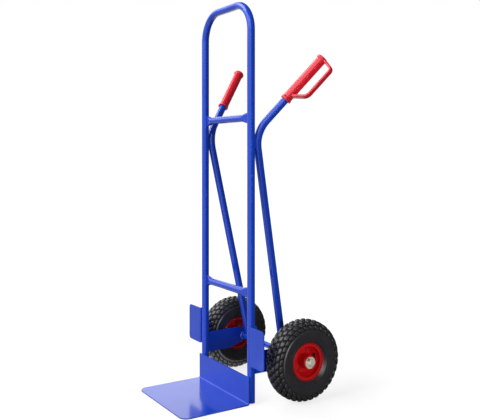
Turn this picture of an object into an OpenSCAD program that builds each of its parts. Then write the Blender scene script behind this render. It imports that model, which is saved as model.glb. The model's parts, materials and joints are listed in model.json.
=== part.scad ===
// Two-wheeled hand truck: a bent tube frame with a fixed toe plate, two splayed
// handles with knuckle guards, and two pneumatic wheels on a fixed axle.
// Millimetres. X runs across the truck, Y from the load side to the operator's
// side, Z up. The origin is on the floor, in the middle of the footprint.
// Left and right are as seen from the load side.

/* [Tube frame] */
// Outside diameter of the frame tube
frame_tube_d = 25; // [22:1:30]
// Wall of the frame tube
frame_tube_wall = 2; // [1.5:0.5:3]
// Width across the two uprights
frame_w = 320; // [290:5:360]
// Height of the top of the hoop
frame_h = 1284; // [1150:1:1400]
// Bend radius of the hoop's corners, on the tube's centre line
hoop_bend_r = 89; // [60:1:110]
// Gap between the floor and the foot of each upright
upright_foot_z = 4; // [2:1:8]

/* [Crossbars] */
// Outside diameter of a crossbar
crossbar_d = 24; // [18:1:24]
// Wall of a crossbar
crossbar_wall = 2; // [1.5:0.5:3]
// Height of the upper crossbar
upper_crossbar_z = 903; // [870:1:1000]
// Height of the lower crossbar
lower_crossbar_z = 347; // [300:1:400]
// Height of a crossbar's flattened end
crossbar_end_h = 35; // [28:1:36]
// Thickness of a crossbar's flattened end
crossbar_end_t = 7; // [5:0.5:10]
// Length of the change from round to flat
crossbar_taper_l = 32; // [15:1:40]
// Length of the flat land beside the upright
crossbar_land_l = 5; // [3:1:10]

/* [Toe plate] */
// Width of the toe plate
plate_w = 320; // [300:5:360]
// Depth of the toe plate in front of its upstand
plate_depth = 231; // [180:1:280]
// Thickness of the sheet
plate_t = 4; // [3:0.5:5]
// Height of the upstand behind the load
upstand_h = 88; // [60:1:100]
// Inside radius of the fold
plate_fold_r = 4; // [2:0.5:8]
// Radius of the front corners
plate_corner_r = 26; // [8:1:30]

/* [Wheel guards] */
// Width of a guard's face
guard_w = 80; // [70:1:85]
// Height of a guard
guard_h = 123; // [90:1:130]
// Height of a guard's lower edge
guard_z = 124; // [115:1:140]
// Thickness of a guard's sheet
guard_t = 3; // [2:0.5:4]
// Depth of the flange on the upright
guard_flange = 26; // [20:1:30]
// Distance from the tube's front to the guard's face
guard_proud = 2; // [1:0.5:3]
// Radius of a guard's outer corners
guard_corner_r = 12; // [3:1:15]
// Inside radius of a guard's fold
guard_fold_r = 2; // [1:0.5:3]

/* [Axle and brackets] */
// Diameter of the axle
axle_d = 20; // [18:1:22]
// Length of the axle
axle_l = 519; // [516:1:522]
// Distance from the uprights' centre line back to the axle
axle_back = 156.5; // [150:0.5:170]
// Chamfer on the axle's ends
axle_chamfer = 1.5; // [0.5:0.5:2.5]
// Thickness of an axle bracket
bracket_t = 4; // [3:0.5:6]
// Height of a bracket above the axle's centre
bracket_rise = 32; // [25:1:40]
// Depth of a bracket below the axle's centre
bracket_drop = 38; // [25:1:45]
// Distance that a bracket runs behind the axle's centre
bracket_tail = 18; // [16:1:24]
// Depth of a bracket below the axle's centre at its tail
bracket_tail_drop = 14; // [13:1:20]
// Length of a bracket's straight lower edge behind the upright's centre
bracket_foot_l = 98; // [60:1:110]
// Clearance round the axle in a bracket
bracket_clearance = 0.1; // [0.05:0.05:0.3]

/* [Handles] */
// Outside diameter of a handle tube
handle_tube_d = 25; // [22:1:27]
// Wall of a handle tube
handle_tube_wall = 2; // [1.5:0.5:3]
// Height at which a handle touches its upright
handle_touch_z = 827.5; // [780:0.5:860]
// Outward lean of the handle tube where it touches the upright
handle_lean = 7.7; // [6:0.1:9]
// Splay of the handle's bend away from straight back
handle_splay = 20.8; // [16:0.1:24]
// Bend radius on the tube's centre line
handle_bend_r = 110; // [80:1:140]
// Angle bent above the point of contact
handle_bend = 38.8; // [30:0.1:45]
// Gap between the axle's centre and the foot of a handle tube
handle_foot_gap = 3; // [1:0.5:6]
// Straight tube between the bend and the grip
handle_neck_l = 87; // [60:1:110]

/* [Grips] */
// Diameter of a grip
grip_d = 32.5; // [31:0.5:36]
// Length of a grip
grip_l = 182; // [160:1:200]
// Diameter of the collar at the grip's lower end
grip_collar_d = 36.5; // [36.5:0.5:40]
// Length of the collar
grip_collar_l = 9; // [6:1:14]
// Diameter of the rim at the grip's closed end
grip_rim_d = 38; // [35:0.5:40]
// Length of the rim
grip_rim_l = 8; // [5:0.5:12]
// Chamfer on the grip's edges
grip_edge = 1.5; // [0.5:0.5:2]
// Wall that closes the grip's end
grip_end_t = 5; // [3:0.5:8]
// Distance from the grip's axis to the knuckle guard's centre line
bow_reach = 56; // [48:1:62]
// Width of the knuckle guard
bow_w = 18; // [12:1:18]
// Thickness of the knuckle guard
bow_t = 9; // [6:0.5:9]
// Where the knuckle guard's lower leg leaves the grip's axis
bow_foot = 17; // [14:1:22]
// Where the lower leg reaches the straight run
bow_low = 50; // [44:1:60]
// Where the straight run ends
bow_high = 165; // [150:1:167]
// Bend radius between the lower leg and the run
bow_low_r = 24; // [14:1:30]
// Bend radius between the run and the upper leg
bow_high_r = 13; // [10:1:18]
// Turn of the knuckle guard from the handle's bend, outwards
bow_turn = 50; // [40:1:60]

/* [Wheels] */
// Outside diameter of a tyre
wheel_d = 260; // [250:1:270]
// Width of a tyre
tyre_w = 85; // [80:1:88]
// Distance between the middles of the two tyres
track = 420; // [418:1:422]
// Thickness of the tread over the air space
tread_t = 11; // [9:0.5:13]
// Thickness of the tyre's side wall
sidewall_t = 6; // [5:0.5:7]
// Depth of the tread's grooves
groove_depth = 2.5; // [1:0.5:4]
// Width of the tread's grooves
groove_w = 2.5; // [1.5:0.5:4]
// Diameter of the rim at the tyre's beads
rim_d = 101.6; // [100:0.1:104]
// Width of the rim between its flanges
rim_w = 52; // [50:0.5:54]
// Height of the rim's flanges
rim_flange_h = 8.5; // [8:0.5:9]
// Thickness of the rim's sheet
rim_t = 2; // [1.5:0.5:2.5]
// Diameter of the flat disc in the middle of the rim
rim_disc_d = 78; // [76:1:80]
// Wall of the inner tube
inner_tube_wall = 1.5; // [1:0.5:2]
// Diameter of the rim bolts
rim_bolt_d = 6; // [5:1:6]
// Diameter of the circle of rim bolts
rim_bolt_circle = 61; // [60:0.5:62]
// Number of rim bolts
rim_bolt_n = 4; // [3:1:5]
// Angle of the valve above the horizontal, towards the operator
valve_angle = 20; // [0:1:80]
// Diameter of the valve's stem
valve_d = 7.2; // [6:0.2:8]
// Diameter of the valve's cap
valve_cap_d = 8.6; // [8:0.2:9]
// Distance from the rim's wall to the tip of the valve
valve_l = 23; // [20:1:28]

/* [Hub and bearings] */
// Length of the hub over the bearings' inner races
hub_l = 75; // [74:0.5:78]
// Outside diameter of the hub tube
hub_d = 44; // [42:0.5:45]
// Outside diameter of a bearing
bearing_d = 37; // [36.5:0.5:38]
// Width of a bearing
bearing_w = 9; // [9:0.5:12]
// Diameter of the balls
ball_d = 5.5; // [5:0.1:5.6]
// Number of balls in a bearing
ball_n = 11; // [8:1:11]
// Diameter of the axle washers
washer_d = 37; // [34:1:40]
// Thickness of the axle washers
washer_t = 3; // [2:0.5:4]
// Diameter of the spacers between the brackets and the wheels
spacer_d = 26; // [25:0.5:28]
// Diameter of the split pins
split_pin_d = 4; // [3:0.5:5]

/* [Hidden] */
$fn = 64;

// Finishes
frame_blue = [0.16, 0.20, 0.62];
grip_red = [0.85, 0.08, 0.10];
rim_red = [0.62, 0.03, 0.04];
rubber_black = [0.07, 0.07, 0.075];
steel = [0.72, 0.72, 0.74];
zinc = [0.86, 0.84, 0.78];

cut = 1;                    // how far a cutting solid runs past a face
fillet_n = 8;               // straight steps in a rounded outline's corner
ring_n = 32;                // points round a crossbar's blended end
taper_n = 6;                // steps in that blend
crossbar_inset = 0.15;      // how far that blend starts inside the round bar
joint_l = 1;                // length of the sleeve at a joint of two bar stretches
joint_grow = 0.02;          // how far that sleeve stands proud

// Frame
frame_tube_r = frame_tube_d / 2;
crossbar_r = crossbar_d / 2;
handle_tube_r = handle_tube_d / 2;
axle_r = axle_d / 2;
wheel_r = wheel_d / 2;
upright_x = frame_w / 2 - frame_tube_r;
hoop_bend_z = frame_h - frame_tube_r - hoop_bend_r;
plate_reach = frame_tube_r + plate_t + plate_depth;
upright_y = (plate_reach - axle_back - wheel_r) / 2;
axle_y = upright_y + axle_back;
axle_z = wheel_r;

// Handle: it touches the back of the upright at touch, heading along
// handle_up and bending towards handle_in, and its foot lies on the axle
handle_up = [sin(handle_lean), 0, cos(handle_lean)];
handle_in = [sin(handle_splay) * cos(handle_lean), cos(handle_splay),
             -sin(handle_splay) * sin(handle_lean)];
handle_side = cross(handle_up, handle_in);
touch = [upright_x, upright_y + frame_tube_r + handle_tube_r, handle_touch_z];
foot_x = touch[0] - ((axle_y - touch[1]) * handle_side[1]
                     + (axle_z - touch[2]) * handle_side[2]) / handle_side[0];
foot_from_bend = [foot_x, axle_y, axle_z] - touch - handle_bend_r * handle_in;
foot_up = foot_from_bend * handle_up;
foot_in = foot_from_bend * handle_in;
handle_leg_l = sqrt(foot_up * foot_up + foot_in * foot_in - handle_bend_r * handle_bend_r);
handle_low_bend = atan2(-foot_up, -foot_in) - atan2(handle_leg_l, handle_bend_r);
grip_bore_l = grip_l - grip_end_t;

// Wheels
wheel_x = track / 2;
bead_fit = 0.05;            // gap between the tyre and the rim
bead_chamfer = 2;           // chamfer on the tyre's heels
rim_seat_r = rim_d / 2;
bead_r = rim_seat_r + bead_fit;
bead_z = rim_w / 2 - bead_fit;
flange_r = rim_seat_r + rim_flange_h;
disc_r = rim_disc_d / 2;
well_z = 13;                // half width of the rim's drop centre
well_slope = atan2(well_z - rim_t, rim_seat_r - disc_r);
section_h = wheel_r - rim_seat_r;
section_r = rim_seat_r + section_h / 2;
tyre_power = 2.4;           // squareness of the tyre's section
air_rise = section_h - tread_t - 12;
tube_fit = 0.6;             // gap between the inner tube and the tyre
bolt_circle_r = rim_bolt_circle / 2;
bolt_hole_fit = 0.2;
bolt_head_h = 4;
nut_h = 5;
bolt_af = rim_bolt_d * 1.67;

// Bearings
race_step = 0.5;            // how far an inner race stands out of the hub
race_fit = 0.02;            // gap between the axle and an inner race
ball_fit = 0.3;             // gap between a ball and its races
bearing_r = bearing_d / 2;
hub_r = hub_d / 2;
tube_end_z = hub_l / 2 - race_step;
ball_z = tube_end_z - bearing_w / 2;
ball_circle_r = (bearing_r + axle_r) / 2;
race_wall = 2.2;
seal_t = 0.6;
seal_fit = 0.3;
cage_t = 1.6;
cage_w = 7.4;
pocket_fit = 0.05;
hub_shoulder = 2;           // step behind each bearing
spacer_start = upright_x + bracket_t / 2;
spacer_l = wheel_x - hub_l / 2 - spacer_start;
pin_x = wheel_x + hub_l / 2 + washer_t + split_pin_d / 2 + 0.5;
pin_fit = 0.2;
pin_turn = 40;              // lean of the split pin from upright

// Weld beads
weld = 5;                   // leg of a fillet weld
weld_root = 1.5;            // how far a weld's root stays off the line of contact

// ---- outlines ---------------------------------------------------------------

// A rectangle with round corners
module round_rect(w, h, r) {
    square([w - 2 * r, h], center = true);
    square([w, h - 2 * r], center = true);
    for (x = [-1, 1], y = [-1, 1])
        translate([x * (w / 2 - r), y * (h / 2 - r)])
            circle(r = r);
}

// A quarter of a folded sheet: it leaves the origin along -X and -Y turned down
module fold_quarter(r, t) {
    intersection() {
        difference() {
            circle(r = r + t);
            circle(r = r);
        }
        translate([0, -r - t])
            square(r + t);
    }
}

// What a round corner removes; the corner's point is at the origin, the
// material lies towards +X and +Y
module corner_waste(r) {
    difference() {
        translate([-cut, -cut])
            square(r + cut);
        translate([r, r])
            circle(r = r);
    }
}

// Signed power, for rounded-square ovals
function spow(v, p) = sign(v) * pow(abs(v), p);

// Points of an oval ring section from one angle to another, as [radius, offset]
function oval(r, rise, half_w, power, from, to, n) =
    [for (i = [0:n])
        let (a = from + (to - from) * i / n)
            [r + rise * spow(sin(a), 2 / power), half_w * spow(cos(a), 2 / power)]];

function unit(v) = v / norm(v);
function left_of(v) = [-v[1], v[0]];
function reversed(p) = [for (i = [len(p) - 1:-1:0]) p[i]];
function mirrored(p) = [for (q = p) [q[0], -q[1]]];

// The unit normal of an open path at point i, lengthened at a corner
function miter(p, i) =
    let (a = i > 0 ? left_of(unit(p[i] - p[i - 1])) : left_of(unit(p[1] - p[0])),
         b = i < len(p) - 1 ? left_of(unit(p[i + 1] - p[i])) : a)
        (a + b) / (1 + a * b);

// A sheet of thickness t centred on an open path
module sheet_section(p, t) {
    side = [for (i = [0:len(p) - 1]) p[i] + miter(p, i) * t / 2];
    other = [for (i = [0:len(p) - 1]) p[i] - miter(p, i) * t / 2];
    polygon(concat(side, reversed(other)));
}

// ---- placing ----------------------------------------------------------------

module opposite() mirror([1, 0, 0]) children();

module at_uprights() translate([0, upright_y, 0]) children();

// Local Z runs out along the axle, with its zero in the middle of the tyre
module at_wheel() translate([wheel_x, axle_y, axle_z]) rotate([0, 90, 0]) children();

// Along a handle from the point of contact, X towards the inside of the bend
module at_touch() translate(touch) rotate([0, handle_lean, 0]) rotate([0, 0, 90 - handle_splay]) children();

// At the grip's lower end, Z along the grip, X towards the knuckle guard
module at_grip()
    at_touch()
        past_bend(handle_bend_r, handle_bend)
            translate([0, 0, handle_neck_l])
                rotate([0, 0, -bow_turn])
                    children();

// Both ends of the hub
module at_bearings()
    for (m = [0, 1])
        mirror([0, 0, m])
            translate([0, 0, ball_z])
                children();

// ---- bent bars --------------------------------------------------------------

// A section swept round a bend that starts at the origin, up, towards +X
module bend(r, angle)
    translate([r, 0, 0])
        rotate([90, 0, 180])
            rotate_extrude(angle = angle)
                translate([r, 0])
                    children();

// The frame at the far end of such a bend
module past_bend(r, angle)
    translate([r, 0, 0])
        rotate([0, angle, 0])
            translate([-r, 0, 0])
                children();

module hoop_solid(r, past) {
    for (m = [0, 1]) {
        mirror([m, 0, 0]) {
            translate([upright_x, 0, upright_foot_z - past])
                cylinder(r = r, h = hoop_bend_z - upright_foot_z + past);
            translate([upright_x - hoop_bend_r, 0, hoop_bend_z])
                rotate([90, 0, 0])
                    rotate_extrude(angle = 90)
                        translate([hoop_bend_r, 0])
                            circle(r = r);
        }
    }
    translate([hoop_bend_r - upright_x, 0, frame_h - frame_tube_r])
        rotate([0, 90, 0])
            cylinder(r = r, h = 2 * (upright_x - hoop_bend_r));
}

// The two uprights as solid bars, for cutting what meets them
module uprights()
    at_uprights()
        for (m = [0, 1])
            mirror([m, 0, 0])
                translate([upright_x, 0, 0])
                    cylinder(r = frame_tube_r, h = hoop_bend_z);

module axle_bar(r)
    translate([-axle_l / 2, axle_y, axle_z])
        rotate([0, 90, 0])
            cylinder(r = r, h = axle_l);

// A hair-thin sleeve of height joint_l that closes the joint of two bar stretches
module joint()
    translate([0, 0, -joint_l / 2])
        linear_extrude(joint_l)
            children();

// Where a handle's bend begins, Z up along its lower leg
module at_bend()
    at_touch()
        translate([handle_bend_r, 0, 0])
            rotate([0, -handle_low_bend, 0])
                translate([-handle_bend_r, 0, 0])
                    children();

// A handle's bar of radius r, running past its ends by the given lengths
module handle_solid(r, past_foot, past_end)
    at_bend() {
        translate([0, 0, -handle_leg_l - past_foot])
            cylinder(r = r, h = handle_leg_l + past_foot);
        joint()
            circle(r = r + joint_grow);
        bend(handle_bend_r, handle_low_bend + handle_bend)
            circle(r = r);
        past_bend(handle_bend_r, handle_low_bend + handle_bend) {
            joint()
                circle(r = r + joint_grow);
            cylinder(r = r, h = handle_neck_l + grip_bore_l + past_end);
        }
    }

// ---- frame ------------------------------------------------------------------

module frame_hoop()
    color(frame_blue)
        at_uprights()
            difference() {
                hoop_solid(frame_tube_r, 0);
                hoop_solid(frame_tube_r - frame_tube_wall, cut);
            }

// Points of a crossbar's outline at x, from round at flatness 0 to flattened at 1
function crossbar_ring(x, flatness) =
    let (r = crossbar_r - crossbar_inset, end_r = crossbar_end_t / 2,
         straight = crossbar_end_h - crossbar_end_t)
        [for (i = [0:ring_n - 1])
            let (a = 360 * (i + 0.5) / ring_n,
                 round_p = r * [cos(a), sin(a)],
                 flat_p = end_r * [cos(a), sin(a)] + [0, sign(sin(a)) * straight / 2],
                 p = round_p + (flat_p - round_p) * flatness)
                [x, p[0], p[1]]];

// A closed solid through rings of equally many points, in steps along X
module loft(rings) {
    n = len(rings[0]);
    last = n * (len(rings) - 1);
    polyhedron(
        points = [for (ring = rings, p = ring) p],
        faces = concat(
            [[for (i = [0:n - 1]) i]],
            [[for (i = [n - 1:-1:0]) last + i]],
            [for (k = [0:len(rings) - 2], i = [0:n - 1])
                let (a = k * n + i)
                    [a, a + n, k * n + (i + 1) % n]],
            [for (k = [0:len(rings) - 2], i = [0:n - 1])
                let (b = k * n + (i + 1) % n)
                    [b, k * n + i + n, b + n]]));
}

// One flattened end: it leaves the round bar and runs into the upright
module crossbar_taper(round_x, flat_x)
    loft(concat(
        [for (k = [0:taper_n])
            let (u = k / taper_n)
                crossbar_ring(round_x - cut + (flat_x - round_x + cut) * u, u * u * (3 - 2 * u))],
        [crossbar_ring(upright_x, 1)]));

module crossbar(z) {
    flat_x = upright_x - frame_tube_r - crossbar_land_l;
    round_x = flat_x - crossbar_taper_l;
    color(frame_blue)
        difference() {
            translate([0, upright_y, z]) {
                difference() {
                    translate([-round_x, 0, 0])
                        rotate([0, 90, 0])
                            cylinder(r = crossbar_r, h = 2 * round_x);
                    translate([2 * cut - round_x, 0, 0])
                        rotate([0, 90, 0])
                            cylinder(r = crossbar_r - crossbar_wall, h = 2 * (round_x - 2 * cut));
                }
                for (m = [0, 1])
                    mirror([m, 0, 0])
                        crossbar_taper(round_x, flat_x);
            }
            uprights();
        }
}

module upper_crossbar() crossbar(upper_crossbar_z);
module lower_crossbar() crossbar(lower_crossbar_z);

module toe_plate() {
    fold_y = -frame_tube_r - plate_t - plate_fold_r;
    fold_z = plate_t + plate_fold_r;
    color(frame_blue)
        at_uprights()
            difference() {
                translate([-plate_w / 2, 0, 0])
                    rotate([90, 0, 90])
                        linear_extrude(plate_w) {
                            translate([-plate_reach, 0])
                                square([plate_reach + fold_y, plate_t]);
                            translate([-frame_tube_r - plate_t, fold_z])
                                square([plate_t, upstand_h - fold_z]);
                            translate([fold_y, fold_z])
                                fold_quarter(plate_fold_r, plate_t);
                        }
                for (m = [0, 1])
                    mirror([m, 0, 0])
                        translate([-plate_w / 2, -plate_reach, -cut])
                            linear_extrude(plate_t + 2 * cut)
                                corner_waste(plate_corner_r);
            }
}

module right_wheel_guard() {
    face_y = -frame_tube_r - guard_proud;
    fold = guard_fold_r + guard_t;
    color(frame_blue)
        at_uprights()
            difference() {
                translate([frame_w / 2, face_y, guard_z])
                    linear_extrude(guard_h) {
                        translate([fold, 0])
                            square([guard_w - fold, guard_t]);
                        translate([0, fold])
                            square([guard_t, guard_flange - fold]);
                        translate([fold, fold])
                            rotate(-90)
                                fold_quarter(guard_fold_r, guard_t);
                    }
                for (m = [0, 1])
                    translate([frame_w / 2 + guard_w, face_y - cut, guard_z + m * guard_h])
                        mirror([0, 0, m])
                            rotate([90, 0, 180])
                                linear_extrude(guard_t + 2 * cut)
                                    corner_waste(guard_corner_r);
            }
}

module right_axle_bracket()
    color(frame_blue)
        difference() {
            at_uprights()
                translate([upright_x - bracket_t / 2, 0, axle_z])
                    rotate([90, 0, 90])
                        linear_extrude(bracket_t)
                            polygon([
                                [0, bracket_rise],
                                [0, -bracket_drop],
                                [bracket_foot_l, -bracket_drop],
                                [axle_back + bracket_tail, -bracket_tail_drop],
                                [axle_back + bracket_tail, bracket_rise]]);
            uprights();
            axle_bar(axle_r + bracket_clearance);
        }

module axle() {
    body_l = axle_l - 2 * axle_chamfer;
    color(zinc)
        difference() {
            translate([-axle_l / 2, axle_y, axle_z])
                rotate([0, 90, 0]) {
                    cylinder(r1 = axle_r - axle_chamfer, r2 = axle_r, h = axle_chamfer);
                    translate([0, 0, axle_chamfer])
                        cylinder(r = axle_r, h = body_l);
                    translate([0, 0, axle_chamfer + body_l])
                        cylinder(r1 = axle_r, r2 = axle_r - axle_chamfer, h = axle_chamfer);
                }
            for (s = [-1, 1])
                translate([s * pin_x, axle_y, axle_z])
                    rotate([pin_turn, 0, 0])
                        cylinder(r = split_pin_d / 2 + pin_fit, h = axle_d + 2 * cut, center = true);
        }
}

// ---- handles ----------------------------------------------------------------

module right_handle_tube()
    color(frame_blue)
        difference() {
            handle_solid(handle_tube_r, -handle_foot_gap, 0);
            handle_solid(handle_tube_r - handle_tube_wall, cut, cut);
            axle_bar(axle_r);
        }

// The grip's revolved outline: collar, barrel, rim and closed end
function grip_outline() =
    let (barrel = grip_d / 2, collar = grip_collar_d / 2, rim = grip_rim_d / 2, edge = grip_edge)
        [[0, 0], [collar - edge, 0], [collar, edge], [collar, grip_collar_l - edge],
         [barrel, grip_collar_l + edge], [barrel, grip_l - grip_rim_l - 2 * edge],
         [rim, grip_l - grip_rim_l], [rim, grip_l - 2 * edge], [rim - edge, grip_l - edge / 2],
         [rim - 2.5 * edge, grip_l], [0, grip_l]];

// The knuckle guard: two legs and a straight run, with a bend at each end of it
module bow() {
    top = grip_l - bow_t / 4;
    low_turn = atan2(bow_reach, bow_low - bow_foot);
    high_turn = atan2(bow_reach, top - bow_high);
    low_cut = bow_low_r * tan(low_turn / 2);
    high_cut = bow_high_r * tan(high_turn / 2);
    run_l = bow_high - high_cut - bow_low - low_cut;
    translate([bow_reach, 0, bow_low + low_cut]) {
        linear_extrude(run_l)
            bow_section(0);
        rotate([180, 0, 0])
            bow_leg(bow_low_r, low_turn, norm([bow_reach, bow_low - bow_foot]) - low_cut);
        translate([0, 0, run_l])
            bow_leg(bow_high_r, high_turn, norm([bow_reach, top - bow_high]) - high_cut);
    }
}

// A bend off the straight run, towards the grip, and the straight leg after it
module bow_leg(r, turn, l)
    mirror([1, 0, 0]) {
        joint()
            bow_section(joint_grow);
        bend(r, turn)
            bow_section(0);
        past_bend(r, turn) {
            joint()
                bow_section(joint_grow);
            linear_extrude(l)
                bow_section(0);
        }
    }

module bow_section(grow) round_rect(bow_t + 2 * grow, bow_w + 2 * grow, bow_t * 0.35 + grow);

module right_grip()
    color(grip_red)
        at_grip()
            difference() {
                union() {
                    rotate_extrude()
                        polygon(grip_outline());
                    bow();
                }
                translate([0, 0, -cut])
                    cylinder(r = handle_tube_r, h = grip_bore_l + cut);
            }

// ---- welds ------------------------------------------------------------------

// A bead between a tube along Z and a flat face that touches it on its -Y side
module tangent_bead(l)
    for (m = [0, 1])
        mirror([m, 0, 0])
            linear_extrude(l)
                difference() {
                    polygon([
                        [2 * weld_root, -frame_tube_r],
                        [2 * weld_root + weld, -frame_tube_r],
                        [weld + weld_root, -frame_tube_r + weld / 2],
                        [2 * weld_root, -frame_tube_r + weld / 2]]);
                    circle(r = frame_tube_r);
                }

module crossbar_welds()
    color(frame_blue)
        for (z = [upper_crossbar_z, lower_crossbar_z])
            difference() {
                at_uprights()
                    for (m = [0, 1])
                        mirror([m, 0, 0])
                            translate([upright_x - frame_tube_r - weld / 2, 0, z])
                                rotate([90, 0, 90])
                                    linear_extrude(weld)
                                        difference() {
                                            crossbar_end(weld / 2);
                                            crossbar_end(0);
                                        }
                uprights();
            }

// The flattened end's outline, grown by a margin
module crossbar_end(grow) {
    straight = crossbar_end_h - crossbar_end_t;
    square([crossbar_end_t + 2 * grow, straight], center = true);
    for (s = [-1, 1])
        translate([0, s * straight / 2])
            circle(d = crossbar_end_t + 2 * grow);
}

module toe_plate_welds() {
    start_z = plate_fold_r + plate_t + weld;
    color(frame_blue)
        at_uprights()
            for (s = [-1, 1])
                translate([s * upright_x, 0, start_z])
                    tangent_bead(upstand_h - start_z - weld);
}

module guard_welds() {
    bead_l = guard_h / 4;
    color(frame_blue)
        at_uprights()
            for (m = [0, 1])
                mirror([m, 0, 0])
                    for (z = [guard_z + weld, guard_z + guard_h - weld - bead_l])
                        translate([upright_x, 0, z])
                            rotate(90)
                                tangent_bead(bead_l);
}

// A bead in each corner between a bracket's sides and the upright
module bracket_welds() {
    side_x = bracket_t / 2;
    bead_l = bracket_rise + bracket_drop - 2 * weld;
    color(frame_blue)
        difference() {
            at_uprights()
                for (s = [-1, 1], m = [0, 1])
                    translate([s * upright_x, 0, axle_z - bracket_drop + weld])
                        mirror([m, 0, 0])
                            linear_extrude(bead_l)
                                polygon([
                                    [side_x, frame_tube_r - weld],
                                    [side_x, frame_tube_r + weld - 1],
                                    [side_x + weld, frame_tube_r - 1]]);
            uprights();
        }
}

// A bead round the axle on the inner side of each bracket
module axle_welds() {
    bead_l = weld - 1;
    color(frame_blue)
        for (m = [0, 1])
            mirror([m, 0, 0])
                translate([upright_x - bracket_t / 2 - bead_l, axle_y, axle_z])
                    rotate([0, 90, 0])
                        difference() {
                            cylinder(r1 = axle_r + 0.5, r2 = axle_r + weld, h = bead_l);
                            translate([0, 0, -cut])
                                cylinder(r = axle_r, h = bead_l + 2 * cut);
                        }
}

// A bead on each side of the line where a handle touches its upright
module right_handle_welds() {
    bead_h = 44;
    $fn = 192;              // the bead is thin where it meets the two tubes
    difference() {
        for (s = [-1, 1])
            translate([touch[0] + s * (2 * weld_root + weld / 2),
                       touch[1] - handle_tube_r, touch[2]])
                cube([weld, weld, bead_h], center = true);
        uprights();
        handle_solid(handle_tube_r, 0, 0);
    }
}

module handle_welds()
    color(frame_blue) {
        right_handle_welds();
        opposite()
            right_handle_welds();
    }

// A bead round a handle's foot on the axle
module right_foot_weld() {
    collar_h = 6;
    difference() {
        at_bend()
            translate([0, 0, -handle_leg_l + handle_foot_gap])
                cylinder(r1 = handle_tube_r + weld * 0.7, r2 = handle_tube_r + 1,
                         h = axle_r - handle_foot_gap + collar_h);
        handle_solid(handle_tube_r, 0, 0);
        axle_bar(axle_r);
    }
}

module foot_welds()
    color(frame_blue) {
        right_foot_weld();
        opposite()
            right_foot_weld();
    }

// ---- axle fittings ----------------------------------------------------------

module right_axle_spacer()
    color(zinc)
        translate([spacer_start, axle_y, axle_z])
            rotate([0, 90, 0])
                difference() {
                    cylinder(d = spacer_d, h = spacer_l);
                    translate([0, 0, -cut])
                        cylinder(r = axle_r + race_fit, h = spacer_l + 2 * cut);
                }

module right_axle_washer()
    color(zinc)
        at_wheel()
            translate([0, 0, hub_l / 2])
                difference() {
                    cylinder(d = washer_d, h = washer_t);
                    translate([0, 0, -cut])
                        cylinder(r = axle_r + race_fit, h = washer_t + 2 * cut);
                }

// A split pin: a shank through the axle, an eye above it and two spread legs
module right_split_pin() {
    eye_r = split_pin_d * 0.8;
    wire_r = split_pin_d / 4;
    leg_l = 9;
    color(steel)
        translate([pin_x, axle_y, axle_z])
            rotate([pin_turn, 0, 0]) {
                translate([0, 0, -axle_r - 2])
                    cylinder(d = split_pin_d, h = axle_d + 4);
                translate([0, 0, axle_r + 2 + eye_r])
                    rotate([0, 90, 0])
                        rotate_extrude()
                            translate([eye_r, 0])
                                circle(r = wire_r * 1.4);
                for (s = [-1, 1])
                    translate([0, s * wire_r * 0.9, -axle_r - 2])
                        rotate([180 + s * 38, 0, 0])
                            translate([0, 0, -wire_r])
                                cylinder(r = wire_r, h = leg_l);
            }
}

// ---- bearings and hub -------------------------------------------------------

module race_groove()
    rotate_extrude()
        translate([ball_circle_r, 0])
            circle(r = ball_d / 2 + ball_fit);

// A ring between two radii, centred on the bearing's middle plane
module race(r_in, r_out, step)
    difference() {
        translate([0, 0, -bearing_w / 2])
            cylinder(r = r_out, h = bearing_w + step);
        translate([0, 0, -bearing_w / 2 - cut])
            cylinder(r = r_in, h = bearing_w + step + 2 * cut);
        race_groove();
    }

module right_inner_races()
    color(steel)
        at_wheel()
            at_bearings()
                race(axle_r + race_fit, axle_r + race_wall, race_step);

module right_outer_races()
    color(steel)
        at_wheel()
            at_bearings()
                race(bearing_r - race_wall, bearing_r, 0);

module right_bearing_seals()
    color(rubber_black)
        at_wheel()
            at_bearings()
                for (m = [0, 1])
                    mirror([0, 0, m])
                        translate([0, 0, bearing_w / 2 - seal_t])
                            difference() {
                                cylinder(r = bearing_r - race_wall, h = seal_t);
                                translate([0, 0, -cut])
                                    cylinder(r = axle_r + race_wall + seal_fit, h = seal_t + 2 * cut);
                            }

module right_ball_cages()
    color(zinc)
        at_wheel()
            at_bearings()
                difference() {
                    cylinder(r = ball_circle_r + cage_t / 2, h = cage_w, center = true);
                    cylinder(r = ball_circle_r - cage_t / 2, h = cage_w + 2 * cut, center = true);
                    for (i = [0:ball_n - 1])
                        rotate([0, 0, 360 * i / ball_n])
                            translate([ball_circle_r - ball_d, 0, 0])
                                rotate([0, 90, 0])
                                    cylinder(r = ball_d / 2 + pocket_fit, h = 2 * ball_d);
                }

module right_bearing_balls()
    color(steel)
        at_wheel()
            at_bearings()
                for (i = [0:ball_n - 1])
                    rotate([0, 0, 360 * i / ball_n])
                        translate([ball_circle_r, 0, 0])
                            sphere(d = ball_d);

module right_hub() {
    seat_z = tube_end_z - bearing_w;
    bore_r = bearing_r - hub_shoulder;
    color(rim_red)
        at_wheel()
            difference() {
                cylinder(r = hub_r, h = 2 * tube_end_z, center = true);
                cylinder(r = bore_r, h = 2 * seat_z + 2 * cut, center = true);
                for (m = [0, 1])
                    mirror([0, 0, m])
                        translate([0, 0, seat_z])
                            cylinder(r = bearing_r, h = bearing_w + cut);
            }
}

// ---- wheel ------------------------------------------------------------------

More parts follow.
